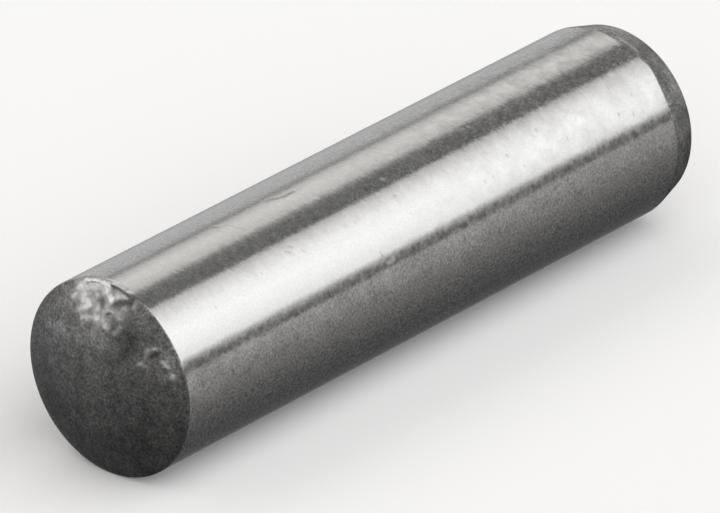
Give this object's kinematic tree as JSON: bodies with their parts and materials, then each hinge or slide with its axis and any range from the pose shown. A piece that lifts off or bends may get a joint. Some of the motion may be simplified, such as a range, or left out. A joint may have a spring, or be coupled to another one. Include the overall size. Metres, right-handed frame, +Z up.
{
  "type": "dowel pin",
  "caption": "Hardened and ground steel dowel pin with a domed end and a chamfered lead-in end, for locating two parts in reamed holes.",
  "frame": {"origin": "on the pin's axis, at half its overall length", "axes": "+X along the axis towards the lead-in end, +Z up towards the chip on the domed end's rim"},
  "size_m": [0.024, 0.006, 0.006],
  "materials": {
    "steel": "ground bright on the shank, dark rough heat-treatment scale on the two ends"
  },
  "bodies": {
    "root": {"dowel_pin": "steel"}
  },
  "joints": []
}
